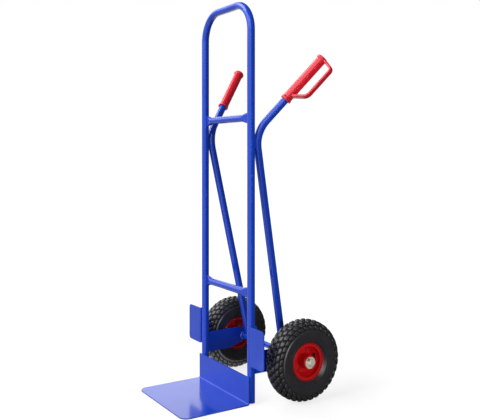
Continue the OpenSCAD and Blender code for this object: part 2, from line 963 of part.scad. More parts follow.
// The middle of the rim's sheet, from the rolled lip down to the hub
function rim_path() =
    let (lip = 1.3, seat = rim_seat_r - rim_t / 2, side = rim_w / 2 + rim_t / 2)
        [[flange_r - lip, side + 3.6],
         [flange_r, side + 2.6],
         [flange_r, side + 1.2],
         [flange_r - lip, side + 0.4],
         [seat + 1.6, side],
         [seat + 0.5, side - 0.5],
         [seat, side - 1.6],
         [seat, well_z + 1.5],
         [seat - 1, well_z],
         [disc_r + 1, rim_t / 2 + 1],
         [disc_r - 1, rim_t / 2],
         [hub_r, rim_t / 2]];

// At the middle of the rim's sloping wall, Z along the valve
module at_valve()
    rotate([0, 0, 90 + valve_angle])
        translate([(rim_seat_r + disc_r) / 2 - rim_t / 4, 0, (well_z + rim_t) / 2])
            rotate([0, -well_slope, 0])
                children();

module at_bolts()
    for (i = [0:rim_bolt_n - 1])
        rotate([0, 0, 90 + valve_angle + 360 * (i + 0.5) / rim_bolt_n])
            translate([bolt_circle_r, 0, 0])
                children();

module rim_half()
    difference() {
        rotate_extrude()
            sheet_section(rim_path(), rim_t);
        at_bolts()
            cylinder(r = rim_bolt_d / 2 + bolt_hole_fit, h = 4 * rim_t, center = true);
    }

module right_rim_outer_half()
    color(rim_red)
        at_wheel()
            difference() {
                rim_half();
                at_valve()
                    cylinder(r = valve_d / 2, h = 6 * rim_t, center = true);
            }

module right_rim_inner_half()
    color(rim_red)
        at_wheel()
            mirror([0, 0, 1])
                rim_half();

module right_rim_bolts()
    color(rim_red)
        at_wheel()
            at_bolts() {
                translate([0, 0, rim_t])
                    cylinder(d = bolt_af / cos(30), h = bolt_head_h, $fn = 6);
                translate([0, 0, -rim_t - nut_h - 2])
                    cylinder(d = rim_bolt_d, h = 2 * rim_t + nut_h + 2);
            }

module right_rim_nuts()
    color(rim_red)
        at_wheel()
            at_bolts()
                translate([0, 0, -rim_t - nut_h])
                    difference() {
                        cylinder(d = bolt_af / cos(30), h = nut_h, $fn = 6);
                        translate([0, 0, -cut])
                            cylinder(d = rim_bolt_d, h = nut_h + 2 * cut);
                    }

module right_inner_tube() {
    low = rim_seat_r + 1;
    high = wheel_r - tread_t - tube_fit;
    half_w = tyre_w / 2 - sidewall_t - 8;
    mid = (low + high) / 2;
    rise = (high - low) / 2;
    color(rubber_black)
        at_wheel()
            rotate_extrude()
                difference() {
                    polygon(oval(mid, rise, half_w, 2, 0, 345, 23));
                    polygon(oval(mid, rise - inner_tube_wall, half_w - inner_tube_wall, 2, 0, 345, 23));
                }
}

module right_valve_stem() {
    base_l = 10;
    color(rubber_black)
        at_wheel()
            at_valve()
                translate([0, 0, -base_l])
                    cylinder(d = valve_d, h = base_l + valve_l / 2);
}

module right_valve_cap()
    color(rubber_black)
        at_wheel()
            at_valve()
                translate([0, 0, valve_l / 2]) {
                    cylinder(d = valve_cap_d, h = valve_l / 2 - 1);
                    translate([0, 0, valve_l / 2 - 1])
                        cylinder(d1 = valve_cap_d, d2 = valve_cap_d - 2, h = 1);
                }

// One side of the tyre's outside, from the middle of the tread to the bead
tyre_low = -46;             // angle at which the side wall reaches the rim's lip
function tyre_side() =
    concat(oval(section_r, section_h / 2, tyre_w / 2, tyre_power, 90, tyre_low, 20),
           [[flange_r + rim_t / 2 + bead_fit, bead_z], [bead_r + bead_chamfer, bead_z],
            [bead_r, bead_z - bead_chamfer], [bead_r, well_z + 1]]);

// One side of the air space, from the middle of the tread to the bead
function air_side() =
    concat(oval(wheel_r - tread_t - air_rise / 2, air_rise / 2, tyre_w / 2 - sidewall_t,
                tyre_power, 90, -34, 14),
           [[bead_r + 9, bead_z - 6], [bead_r, well_z + 1]]);

module tyre_groove(a) {
    p = oval(section_r, section_h / 2, tyre_w / 2, tyre_power, a, a, 1)[0];
    translate(p)
        rotate(90 - a)
            square([2 * groove_depth, groove_w], center = true);
}

module right_tyre()
    color(rubber_black)
        at_wheel()
            rotate_extrude()
                difference() {
                    polygon(concat(tyre_side(), reversed(mirrored(tyre_side()))));
                    polygon(concat(air_side(), reversed(mirrored(air_side()))));
                    for (a = [50, 64, 82, 98, 116, 130])
                        tyre_groove(a);
                }

// ---- the other side ---------------------------------------------------------

module left_wheel_guard() opposite() right_wheel_guard();
module left_axle_bracket() opposite() right_axle_bracket();
module left_handle_tube() opposite() right_handle_tube();
module left_grip() opposite() right_grip();
module left_axle_spacer() opposite() right_axle_spacer();
module left_axle_washer() opposite() right_axle_washer();
module left_split_pin() opposite() right_split_pin();
module left_inner_races() opposite() right_inner_races();
module left_outer_races() opposite() right_outer_races();
module left_bearing_seals() opposite() right_bearing_seals();
module left_ball_cages() opposite() right_ball_cages();
module left_bearing_balls() opposite() right_bearing_balls();
module left_hub() opposite() right_hub();
module left_rim_outer_half() opposite() right_rim_outer_half();
module left_rim_inner_half() opposite() right_rim_inner_half();
module left_rim_bolts() opposite() right_rim_bolts();
module left_rim_nuts() opposite() right_rim_nuts();
module left_inner_tube() opposite() right_inner_tube();
module left_valve_stem() opposite() right_valve_stem();
module left_valve_cap() opposite() right_valve_cap();
module left_tyre() opposite() right_tyre();

frame_hoop();
upper_crossbar();
lower_crossbar();
toe_plate();
left_wheel_guard();
right_wheel_guard();
left_axle_bracket();
right_axle_bracket();
axle();
left_handle_tube();
right_handle_tube();
left_grip();
right_grip();
crossbar_welds();
toe_plate_welds();
guard_welds();
bracket_welds();
axle_welds();
handle_welds();
foot_welds();
left_axle_spacer();
right_axle_spacer();
left_axle_washer();
right_axle_washer();
left_split_pin();
right_split_pin();
left_inner_races();
right_inner_races();
left_outer_races();
right_outer_races();
left_bearing_seals();
right_bearing_seals();
left_ball_cages();
right_ball_cages();
left_bearing_balls();
right_bearing_balls();
left_hub();
right_hub();
left_rim_outer_half();
right_rim_outer_half();
left_rim_inner_half();
right_rim_inner_half();
left_rim_bolts();
right_rim_bolts();
left_rim_nuts();
right_rim_nuts();
left_inner_tube();
right_inner_tube();
left_valve_stem();
right_valve_stem();
left_valve_cap();
right_valve_cap();
left_tyre();
right_tyre();
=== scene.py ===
import json
import math

import bmesh
import bpy
import numpy as np
from mathutils import Matrix, Vector, noise


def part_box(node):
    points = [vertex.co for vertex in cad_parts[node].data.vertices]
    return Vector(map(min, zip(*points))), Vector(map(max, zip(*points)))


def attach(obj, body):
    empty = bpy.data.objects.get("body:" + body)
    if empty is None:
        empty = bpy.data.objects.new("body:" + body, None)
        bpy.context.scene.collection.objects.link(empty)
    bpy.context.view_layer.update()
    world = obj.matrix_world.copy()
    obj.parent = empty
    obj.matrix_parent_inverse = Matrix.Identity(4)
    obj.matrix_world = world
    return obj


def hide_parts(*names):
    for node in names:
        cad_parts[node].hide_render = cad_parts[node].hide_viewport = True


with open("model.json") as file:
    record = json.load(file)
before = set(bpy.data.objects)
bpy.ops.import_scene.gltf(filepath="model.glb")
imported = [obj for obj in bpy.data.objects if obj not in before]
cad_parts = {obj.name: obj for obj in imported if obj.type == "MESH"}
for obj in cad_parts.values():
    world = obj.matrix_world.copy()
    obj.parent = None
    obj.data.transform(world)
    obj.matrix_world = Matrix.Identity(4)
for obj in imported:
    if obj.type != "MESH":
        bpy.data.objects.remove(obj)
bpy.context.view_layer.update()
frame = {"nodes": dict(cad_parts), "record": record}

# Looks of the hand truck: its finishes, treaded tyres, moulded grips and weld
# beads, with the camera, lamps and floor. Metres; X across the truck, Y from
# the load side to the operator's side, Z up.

MM = 0.001
NODES = frame["nodes"]
SIDES = {"left": -1, "right": 1}


# ---- shader helpers -----------------------------------------------------------

class Graph:
    """Adds nodes to one shader tree and links them."""

    def __init__(self, tree):
        self.tree = tree

    def node(self, kind, **settings):
        """A node with properties and input values by name; a socket as value is linked."""
        made = self.tree.nodes.new(kind)
        inputs = {}
        for name, value in settings.items():
            if hasattr(made, name) and not name[0].isupper():
                setattr(made, name, value)
            else:
                inputs[name.replace("_", " ")] = value
        for name, value in inputs.items():
            self.feed(made.inputs[name], value)
        return made

    def feed(self, socket, value):
        if isinstance(value, bpy.types.NodeSocket):
            self.tree.links.new(value, socket)
        else:
            socket.default_value = value

    def math(self, operation, *values):
        made = self.tree.nodes.new("ShaderNodeMath")
        made.operation = operation
        for socket, value in zip(made.inputs, values):
            self.feed(socket, value)
        return made.outputs[0]

    def ramp(self, value, low, high, to_low=0.0, to_high=1.0):
        """A smooth step of value from low to high."""
        made = self.node("ShaderNodeMapRange", interpolation_type="SMOOTHSTEP", Value=value)
        for name, number in (("From Min", low), ("From Max", high),
                             ("To Min", to_low), ("To Max", to_high)):
            made.inputs[name].default_value = number
        return made.outputs["Result"]

    def blend(self, factor, a, b, kind="RGBA"):
        """a where factor is 0, b where it is 1: colours, or numbers if kind is VALUE."""
        made = self.node("ShaderNodeMix", data_type={"RGBA": "RGBA", "VALUE": "FLOAT"}[kind])
        self.feed(made.inputs["Factor"], factor)
        ends = [s for s in made.inputs if s.type == kind and s.name != "Factor"]
        self.feed(ends[0], a)
        self.feed(ends[1], b)
        return next(s for s in made.outputs if s.type == kind)

    def noise(self, place, scale, detail=3.0, roughness=0.5):
        made = self.node("ShaderNodeTexNoise", Vector=place, Scale=scale,
                         Detail=detail, Roughness=roughness)
        return made.outputs["Fac"]

    def spread(self, value, middle, width):
        """A number round middle that moves over width as value goes from 0 to 1."""
        moved = self.math("MULTIPLY_ADD", value, width, middle)
        return self.math("SUBTRACT", moved, width / 2)

    def emission(self, strength):
        made = self.node("ShaderNodeEmission", Color=shade(1, 1, 1), Strength=strength)
        return made.outputs[0]

    def matt(self, paleness):
        colour = shade(paleness, paleness, paleness)
        return self.node("ShaderNodeBsdfDiffuse", Color=colour).outputs[0]

    def mix_shaders(self, factor, a, b):
        """Shader a where factor is 0, b where it is 1."""
        made = self.node("ShaderNodeMixShader")
        for socket, value in zip(made.inputs, (factor, a, b)):
            self.feed(socket, value)
        return made.outputs[0]


def shade(red, green, blue):
    return (red, green, blue, 1.0)


def new_group(name, inputs, outputs):
    """A shader group with sockets given as (name, kind, value) and (name, kind)."""
    tree = bpy.data.node_groups.new(name, "ShaderNodeTree")
    for title, kind, value in inputs:
        socket = tree.interface.new_socket(title, in_out="INPUT", socket_type=f"NodeSocket{kind}")
        socket.default_value = value
    for title, kind in outputs:
        tree.interface.new_socket(title, in_out="OUTPUT", socket_type=f"NodeSocket{kind}")
    graph = Graph(tree)
    return graph, graph.node("NodeGroupInput").outputs, graph.node("NodeGroupOutput").inputs


# Noise scales, in features a metre.
COLOUR_DRIFT = 9.0
SPECKS = 2600.0
MOULD_CLOUDS = 24.0
PLATING_CLOUDS = 130.0


def coat_texture_group():
    """Sprayed paint: a fine waviness, and a slow drift of the colour's depth."""
    graph, given, out = new_group(
        "coat_texture",
        [("Color", "Color", shade(0.5, 0.5, 0.5)), ("Deep", "Color", shade(0.4, 0.4, 0.4)),
         ("Waves", "Float", 400.0), ("Gloss", "Float", 0.1)],
        [("Color", "Color"), ("Roughness", "Float"), ("Height", "Float")])
    place = graph.node("ShaderNodeTexCoord").outputs["Object"]
    waves = graph.noise(place, given["Waves"], detail=2.0, roughness=0.45)
    drift = graph.noise(place, COLOUR_DRIFT, detail=3.0, roughness=0.55)
    speck = graph.noise(place, SPECKS, detail=1.0, roughness=0.5)
    deep = graph.ramp(drift, 0.35, 0.7)
    graph.feed(out["Color"], graph.blend(deep, given["Color"], given["Deep"]))
    graph.feed(out["Roughness"], graph.spread(drift, given["Gloss"], 0.06))
    graph.feed(out["Height"], graph.math("MULTIPLY_ADD", speck, 0.08, waves))
    return graph.tree


def grain_group():
    """Moulded surface: a fine spark-eroded grain, with slightly uneven colour and gloss."""
    graph, given, out = new_group(
        "mould_grain",
        [("Color", "Color", shade(0.5, 0.5, 0.5)), ("Worn", "Color", shade(0.6, 0.6, 0.6)),
         ("Grain", "Float", 1500.0), ("Gloss", "Float", 0.4)],
        [("Color", "Color"), ("Roughness", "Float"), ("Height", "Float")])
    place = graph.node("ShaderNodeTexCoord").outputs["Object"]
    grain = graph.noise(place, given["Grain"], detail=3.0, roughness=0.6)
    cloud = graph.noise(place, MOULD_CLOUDS, detail=4.0, roughness=0.6)
    worn = graph.ramp(cloud, 0.42, 0.75)
    graph.feed(out["Color"], graph.blend(worn, given["Color"], given["Worn"]))
    graph.feed(out["Roughness"], graph.spread(cloud, given["Gloss"], 0.16))
    graph.feed(out["Height"], grain)
    return graph.tree


def plating_group():
    """Plated or ground steel: fine streaks across the X axis, and faint clouding."""
    graph, given, out = new_group(
        "plated_steel",
        [("Color", "Color", shade(0.7, 0.7, 0.7)), ("Clouded", "Color", shade(0.6, 0.6, 0.6)),
         ("Streaks", "Float", 900.0), ("Gloss", "Float", 0.3)],
        [("Color", "Color"), ("Roughness", "Float"), ("Height", "Float")])
    place = graph.node("ShaderNodeTexCoord").outputs["Object"]
    stretch = graph.node("ShaderNodeMapping", Vector=place)
    stretch.inputs["Scale"].default_value = (1.0, 0.12, 0.12)
    streaks = graph.noise(stretch.outputs["Vector"], given["Streaks"], detail=2.0, roughness=0.6)
    cloud = graph.noise(place, PLATING_CLOUDS, detail=4.0, roughness=0.65)
    clouded = graph.ramp(cloud, 0.4, 0.7)
    graph.feed(out["Color"], graph.blend(clouded, given["Color"], given["Clouded"]))
    graph.feed(out["Roughness"], graph.spread(streaks, given["Gloss"], 0.2))
    graph.feed(out["Height"], streaks)
    return graph.tree


COAT_TEXTURE = coat_texture_group()
MOULD_GRAIN = grain_group()
PLATED_STEEL = plating_group()


def new_material(name):
    """A material, its graph and its Principled shader."""
    material = bpy.data.materials.new(name)
    material.use_nodes = True
    return material, Graph(material.node_tree), material.node_tree.nodes["Principled BSDF"]


def placed(graph, group, values):
    """The outputs of a group placed in a material with its own values."""
    made = graph.node("ShaderNodeGroup", node_tree=group)
    for title, value in values.items():
        made.inputs[title].default_value = value
    return made.outputs


def relief_normal(graph, height, relief):
    """The normal of a surface raised by a height, with relief as (strength, depth)."""
    strength, depth = relief
    bump = graph.node("ShaderNodeBump", Height=height, Strength=strength, Distance=depth)
    return bump.outputs["Normal"]


def finish(name, group, values, relief, **surface):
    """A material: a Principled shader whose colour, roughness and relief come from a group."""
    material, graph, shader = new_material(name)
    texture = placed(graph, group, values)
    graph.feed(shader.inputs["Base Color"], texture["Color"])
    graph.feed(shader.inputs["Roughness"], texture["Roughness"])
    graph.feed(shader.inputs["Normal"], relief_normal(graph, texture["Height"], relief))
    for title, value in surface.items():
        shader.inputs[title.replace("_", " ")].default_value = value
    return material


# ---- finishes -----------------------------------------------------------------

BLUE_PAINT = {"Color": shade(0.007, 0.062, 0.590), "Deep": shade(0.006, 0.054, 0.540),
              "Waves": 420.0, "Gloss": 0.17}
BLUE_RELIEF = (0.25, 0.02 * MM)
ZINC = {"Color": shade(0.88, 0.81, 0.70), "Clouded": shade(0.78, 0.73, 0.64),
        "Streaks": 900.0, "Gloss": 0.42}
ZINC_METALLIC = 0.2             # low, since dull zinc looks pale and mirrors little
PAINTED_AXLE = 158 * MM         # the axle's paint ends this far from its middle, past the brackets
PAINT_EDGE = 0.5 * MM


def blue_powder_coat():
    return finish(
        "blue_powder_coat", COAT_TEXTURE, BLUE_PAINT, BLUE_RELIEF,
        Coat_Weight=0.35, Coat_Roughness=0.07, Coat_IOR=1.5, IOR=1.45)


def red_rim_enamel():
    return finish(
        "red_rim_enamel", COAT_TEXTURE,
        {"Color": shade(0.700, 0.006, 0.010), "Deep": shade(0.600, 0.004, 0.008),
         "Waves": 520.0, "Gloss": 0.36},
        (0.3, 0.02 * MM),
        Coat_Weight=0.45, Coat_Roughness=0.1, Coat_IOR=1.5, Specular_IOR_Level=0.4)


def red_grip_plastic():
    return finish(
        "red_grip_plastic", MOULD_GRAIN,
        {"Color": shade(0.760, 0.012, 0.032), "Worn": shade(0.700, 0.010, 0.026),
         "Grain": 900.0, "Gloss": 0.22},
        (0.02, 0.02 * MM),
        IOR=1.52, Coat_Weight=0.5, Coat_Roughness=0.22,
        Subsurface_Weight=0.06, Subsurface_Scale=2 * MM)


def tyre_rubber():
    return finish(
        "tyre_rubber", MOULD_GRAIN,
        {"Color": shade(0.027, 0.026, 0.029), "Worn": shade(0.036, 0.035, 0.039),
         "Grain": 1300.0, "Gloss": 0.29},
        (0.2, 0.05 * MM),
        IOR=1.5, Specular_IOR_Level=0.95)


def groove_rubber_painted_shade():
    """The tyre between its studs: matt as it left the mould, and darker as painted shade in the
    grooves.
    """
    return finish(
        "groove_rubber_painted_shade", MOULD_GRAIN,
        # The dark colour here is painted shade for the grooves between the studs; the high
        # roughness is the real matt rubber.
        {"Color": shade(0.008, 0.008, 0.009), "Worn": shade(0.012, 0.012, 0.013),
         "Grain": 1100.0, "Gloss": 0.62},
        (0.35, 0.08 * MM),
        IOR=1.45, Specular_IOR_Level=0.3)


def black_rubber():
    return finish(
        "black_rubber", MOULD_GRAIN,
        {"Color": shade(0.012, 0.012, 0.012), "Worn": shade(0.018, 0.018, 0.018),
         "Grain": 2200.0, "Gloss": 0.5},
        (0.2, 0.04 * MM),
        IOR=1.48)


def black_cap_plastic():
    return finish(
        "black_cap_plastic", MOULD_GRAIN,
        {"Color": shade(0.010, 0.010, 0.010), "Worn": shade(0.016, 0.016, 0.016),
         "Grain": 3000.0, "Gloss": 0.34},
        (0.15, 0.03 * MM),
        IOR=1.5)


def zinc_plating():
    return finish(
        "zinc_plating", PLATED_STEEL, ZINC,
        (0.25, 0.03 * MM),
        Metallic=ZINC_METALLIC)


def ground_steel():
    return finish(
        "ground_steel", PLATED_STEEL,
        {"Color": shade(0.62, 0.62, 0.63), "Clouded": shade(0.52, 0.52, 0.54),
         "Streaks": 1500.0, "Gloss": 0.24},
        (0.2, 0.02 * MM),
        Metallic=1.0)


def axle_paint():
    """The axle: painted with the frame in its middle, bare plated steel at its ends."""
    material, graph, shader = new_material("painted_axle")
    paint = placed(graph, COAT_TEXTURE, BLUE_PAINT)
    steel = placed(graph, PLATED_STEEL, ZINC)
    place = graph.node("ShaderNodeTexCoord").outputs["Object"]
    across = graph.node("ShaderNodeSeparateXYZ", Vector=place).outputs["X"]
    off = graph.math("ABSOLUTE", across)
    bare = graph.ramp(off, PAINTED_AXLE, PAINTED_AXLE + PAINT_EDGE)
    graph.feed(shader.inputs["Base Color"], graph.blend(bare, paint["Color"], steel["Color"]))
    graph.feed(shader.inputs["Roughness"],
               graph.blend(bare, paint["Roughness"], steel["Roughness"], "VALUE"))
    graph.feed(shader.inputs["Metallic"], graph.math("MULTIPLY", bare, ZINC_METALLIC))
    graph.feed(shader.inputs["Normal"], relief_normal(graph, paint["Height"], BLUE_RELIEF))
    return material


FINISHES = {
    "frame_paint": blue_powder_coat(),
    "rim_paint": red_rim_enamel(),
    "grip_plastic": red_grip_plastic(),
    "tyre_rubber": tyre_rubber(),
    "black_rubber": black_rubber(),
    "black_plastic": black_cap_plastic(),
    "zinc_steel": zinc_plating(),
    "bearing_steel": ground_steel(),
}
GROOVE_RUBBER_PAINTED_SHADE = groove_rubber_painted_shade()


def finish_cad_nodes():
    """Gives every CAD node the finish of its slot; the axle is painted in its middle only."""
    for part in frame["record"]["subparts"]:
        node = NODES[part["node"]]
        material = FINISHES[part["material_slot"]]
        if part["node"] == "axle":
            material = axle_paint()
        if node.material_slots:
            for place in node.material_slots:
                place.material = material
        else:
            node.data.materials.append(material)


# ---- mesh helpers -------------------------------------------------------------

def piece(name, mesh, slot, body, *replaced):
    """A new piece from a mesh in the shared frame, riding on a body."""
    made = bpy.data.objects.new(name, mesh)
    bpy.context.scene.collection.objects.link(made)
    mesh.materials.clear()
    mesh.materials.append(FINISHES[slot])
    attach(made, body)
    if replaced:
        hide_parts(*replaced)
    return made


def smooth_all(mesh):
    mesh.polygons.foreach_set("use_smooth", [True] * len(mesh.polygons))


def evaluated_copy(source, *modifiers):
    """A new mesh: a CAD node's mesh after modifiers given as (kind, settings)."""
    scratch = bpy.data.objects.new("scratch", source.data.copy())
    bpy.context.scene.collection.objects.link(scratch)
    for kind, settings in modifiers:
        made = scratch.modifiers.new(kind.lower(), kind)
        for title, value in settings.items():
            setattr(made, title, value)
    graph = bpy.context.evaluated_depsgraph_get()
    mesh = bpy.data.meshes.new_from_object(scratch.evaluated_get(graph))
    bpy.data.objects.remove(scratch)
    return mesh


def middle_and_half(node):
    low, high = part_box(node)
    return (low + high) / 2, (high - low) / 2


# ---- tyres --------------------------------------------------------------------

SECTION_POWER = 2.4             # squareness of the tyre's section
SECTION_SAMPLES = 400
SLOPE_STEP = 0.01               # radians, to find the slope of the section
SIDE_WALL_END = -46             # degrees at which the side wall meets the rim's lip
STUDS_ROUND = 33
STUD_ROWS = 3                   # rows on each side of the middle one
ROW_PITCH = 15.6 * MM
STUD_ALONG = 16.4 * MM          # a stud's size round the tyre
STUD_ACROSS = 12.4 * MM         # and across it
STUD_LEAN = 0.5                 # slant of the studs towards the next row's gaps
STUD_LIFT = 3.0 * MM
SHOULDER_LIFT = 2.2 * MM        # the outermost studs are lower
STUD_CROWN = 1.0 * MM           # how far a stud's top bulges
STUD_CORNER = 3.4 * MM
CORNER_POINTS = 4
STUD_RING = 4 * CORNER_POINTS   # points round a stud
STUD_LAYERS = 6                 # rings from its foot to near the middle of its top
GROOVE_RUN = 5 * MM             # over which the tread's floor rises to the side wall
LINE_RIDGE = 0.9 * MM           # height of the tallest ring on the side wall
TREAD_LINES = ((8 * MM, 1.0 * MM, 0.5), (11 * MM, 1.0 * MM, 0.5))
RIM_LINES = ((10 * MM, 2.0 * MM, 1.0), (6 * MM, 1.0 * MM, 0.5))
CASING_STEPS = 75
CASING_TURNS = 180
RIM_COVER = 9 * MM              # the tyre's edge sits this far inside the rim's lip
BEAD_INSET = 5 * MM             # the bead inside the rim: in from the lip,
BEAD_FOOT = 2 * MM              # clear of the rim's seat,
BEAD_HEIGHT = 14 * MM           # up to here
BEAD_TAPER = 4 * MM             # and leaning in by this much


class TyreSection:
    """The tyre's outer section: a squarish oval between the rim and the tread."""

    def __init__(self, wheel_r, half_w, rim_r):
        self.mid_r = (wheel_r + rim_r) / 2
        self.rise = (wheel_r - rim_r) / 2
        self.half_w = half_w
        self.angles = np.radians(np.linspace(90, SIDE_WALL_END, SECTION_SAMPLES))
        r, x = self.point(self.angles)
        steps = np.hypot(np.diff(r), np.diff(x))
        self.lengths = np.concatenate([[0], np.cumsum(steps)])
        self.end = self.lengths[-1]

    def point(self, angle):
        """(radius, offset) at an angle; a quarter turn is the middle of the tread."""
        s, c = np.sin(angle), np.cos(angle)
        power = 2 / SECTION_POWER
        return (self.mid_r + self.rise * np.sign(s) * np.abs(s) ** power,
                self.half_w * np.sign(c) * np.abs(c) ** power)

    def at(self, across, depth):
        """(radius, offset) at distances across from the tread's middle, sunk by a depth."""
        angle = np.interp(np.abs(across), self.lengths, self.angles)
        side = np.where(np.asarray(across) < 0, -1.0, 1.0)
        r, x = self.point(angle)
        r0, x0 = self.point(angle + SLOPE_STEP)
        r1, x1 = self.point(angle - SLOPE_STEP)
        run = np.hypot(r1 - r0, x1 - x0)
        return r - depth * (x1 - x0) / run, side * (x + depth * (r1 - r0) / run)


def ridge(across, centre, width, height):
    """A low round ridge on the side wall."""
    off = (across - centre) / width
    return height * np.clip(1 - off * off, 0, None)


def casing_points(section):
    """Distances across from the tread's middle at which the casing has its points."""
    return np.linspace(-1, 1, 2 * CASING_STEPS + 1) * section.end


def casing_profile(section, tread_end):
    """(radius, offset) points of the casing, from the left rim lip over the tread to the right.

    TREAD_LINES and RIM_LINES are rings on the side wall, each with its distance from the
    tread's edge or from the rim's lip, its half width, and its share of LINE_RIDGE.
    """
    across = casing_points(section)
    off = np.abs(across)
    past = np.clip((off - tread_end) / GROOVE_RUN, 0, 1)
    sunk = STUD_LIFT * (1 - past * past * (3 - 2 * past))
    centred = ([(tread_end + away, width, share) for away, width, share in TREAD_LINES]
               + [(section.end - away, width, share) for away, width, share in RIM_LINES])
    lines = sum(ridge(off, centre, width, LINE_RIDGE * share) for centre, width, share in centred)
    r, x = section.at(across, LINE_RIDGE + sunk - lines)
    return list(zip(r, x))


def spin(profile, steps):
    """Vertices and faces of a closed (radius, offset) profile turned about the X axis."""
    vertices, faces = [], []
    count = len(profile)
    for k in range(steps):
        turn = 2 * math.pi * k / steps
        for r, x in profile:
            vertices.append((x, r * math.sin(turn), r * math.cos(turn)))
    for k in range(steps):
        a, b = k * count, (k + 1) % steps * count
        for i in range(count):
            j = (i + 1) % count
            faces.append((a + i, a + j, b + j, b + i))
    return vertices, faces


def stud_outline():
    """Corners of a stud seen from above: a rectangle with rounded corners."""
    points = []
    for turn, (along, across) in enumerate(((1, 1), (-1, 1), (-1, -1), (1, -1))):
        middle_along = along * (STUD_ALONG / 2 - STUD_CORNER)
        middle_across = across * (STUD_ACROSS / 2 - STUD_CORNER)
        for step in range(CORNER_POINTS):
            a = math.radians(90 * turn + 90 / (CORNER_POINTS - 1) * step)
            points.append((middle_along + STUD_CORNER * math.cos(a),
                           middle_across + STUD_CORNER * math.sin(a)))
    return np.array(points)


def stud_rings(section, across, lean, lift):
    """(radius, offset, angle) of a stud's rings, from its foot to the middle of its top.

    Each of the STUD_LAYERS rings is a share of the stud's outline at a height over the
    tread's floor: one below it, one just above it, the top of the wall, then the crown.
    """
    outline = stud_outline()
    edge = lift - STUD_CROWN
    layers = [(1.12, -0.3 * MM), (1.02, 0.3 * MM), (0.98, edge - 0.1 * MM),
              (0.92, edge + 0.35 * STUD_CROWN), (0.74, edge + 0.7 * STUD_CROWN),
              (0.40, edge + 0.93 * STUD_CROWN)]
    rings = []
    for share, height in layers:
        u, v = (outline * share).T
        r, x = section.at(across + v, STUD_LIFT + LINE_RIDGE - height)
        angle = (u + lean * v) / section.at(across, 0.0)[0]
        rings.append(np.stack([r, x, angle], axis=1))
    r, x = section.at(across, STUD_LIFT + LINE_RIDGE - lift)
    rings.append(np.array([[r, x, 0.0]]))
    return np.concatenate(rings)


def stud_faces(start):
    """Faces of one stud: walls between its rings, then a fan to the middle of its top."""
    faces = []
    for layer in range(STUD_LAYERS - 1):
        for i in range(STUD_RING):
            a = start + layer * STUD_RING + i
            b = start + layer * STUD_RING + (i + 1) % STUD_RING
            faces.append((a, b, b + STUD_RING, a + STUD_RING))
    last = start + (STUD_LAYERS - 1) * STUD_RING
    for i in range(STUD_RING):
        faces.append((last + i, last + (i + 1) % STUD_RING, last + STUD_RING))
    return faces


def tread_studs(section, vertices, faces):
    """Rows of studs, each row half a pitch on from the last, slanting up from the middle."""
    for row in range(-STUD_ROWS, STUD_ROWS + 1):
        side = (row > 0) - (row < 0)
        lift = SHOULDER_LIFT if abs(row) == STUD_ROWS else STUD_LIFT
        rings = stud_rings(section, row * ROW_PITCH, side * STUD_LEAN, lift)
        for k in range(STUDS_ROUND):
            turn = 2 * math.pi * (k + 0.5 * (row % 2)) / STUDS_ROUND
            angles = rings[:, 2] + turn
            faces.extend(stud_faces(len(vertices)))
            vertices.extend(zip(rings[:, 1], rings[:, 0] * np.sin(angles),
                                rings[:, 0] * np.cos(angles)))


def tyre_mesh(name, wheel_r, half_w, rim_r):
    """A tyre round the X axis, and the numbers of its faces between the studs."""
    section = TyreSection(wheel_r + LINE_RIDGE, half_w + LINE_RIDGE, rim_r)
    tread_end = (STUD_ROWS + 0.5) * ROW_PITCH
    outer = casing_profile(section, tread_end)
    bead_x = outer[-1][1] - BEAD_INSET
    foot_r = rim_r + BEAD_FOOT
    inner_r = rim_r + BEAD_HEIGHT
    inner = [(foot_r, bead_x), (inner_r, bead_x - BEAD_TAPER),
             (inner_r, BEAD_TAPER - bead_x), (foot_r, -bead_x)]
    vertices, faces = spin(outer + inner, CASING_TURNS)
    tread_studs(section, vertices, faces)
    mesh = bpy.data.meshes.new(name)
    mesh.from_pydata(vertices, [], faces)
    mesh.update()
    fix_normals(mesh)
    smooth_all(mesh)
    return mesh, groove_faces(section, tread_end, len(outer) + len(inner))


def groove_faces(section, tread_end, around):
    """Numbers of the casing's faces that lie between the studs."""
    across = casing_points(section)
    sunk = [i for i in range(2 * CASING_STEPS)
            if max(abs(across[i]), abs(across[i + 1])) < tread_end]
    return [k * around + i for k in range(CASING_TURNS) for i in sunk]


def fix_normals(mesh):
    edit = bmesh.new()
    edit.from_mesh(mesh)
    bmesh.ops.recalc_face_normals(edit, faces=edit.faces)
    edit.to_mesh(mesh)
    edit.free()


def tyres():
    """The tyres as casing and studs, with the casing duller between the studs and darker there as
    painted shade.
    """
    for side in SIDES:
        middle, half = middle_and_half(f"{side}_tyre")
        rim_r = middle_and_half(f"{side}_rim_outer_half")[1].z - RIM_COVER
        mesh, grooves = tyre_mesh(f"{side}_treaded_tyre", half.z, half.x, rim_r)
        mesh.transform(Matrix.Translation(middle))
        piece(f"{side}_treaded_tyre", mesh, "tyre_rubber", f"{side}_wheel", f"{side}_tyre")
        # The faces between the studs get the groove rubber, whose darker colour is painted shade.
        mesh.materials.append(GROOVE_RUBBER_PAINTED_SHADE)
        for i in grooves:
            mesh.polygons[i].material_index = 1


# ---- grips --------------------------------------------------------------------

GRIP_VOXEL = 1.0 * MM
EVEN_ROUNDS = 60
EVEN_STEPS = (0.60, -0.61)      # one in and one out, as shares of the way to the neighbours


def even_out(mesh, rounds):
    """Smooths a mesh without shrinking it: each step in is followed by a step out."""
    count = len(mesh.vertices)
    where = np.empty(count * 3)
    mesh.vertices.foreach_get("co", where)
    where = where.reshape(-1, 3)
    ends = np.empty(len(mesh.edges) * 2, dtype=np.int64)
    mesh.edges.foreach_get("vertices", ends)
    a, b = ends.reshape(-1, 2).T
    neighbours = np.bincount(ends, minlength=count)
    for step in EVEN_STEPS * rounds:
        around = [np.bincount(a, where[b, axis], count) + np.bincount(b, where[a, axis], count)
                  for axis in range(3)]
        where += step * ((np.array(around) / neighbours).T - where)
    mesh.vertices.foreach_set("co", where.ravel())
    mesh.update()


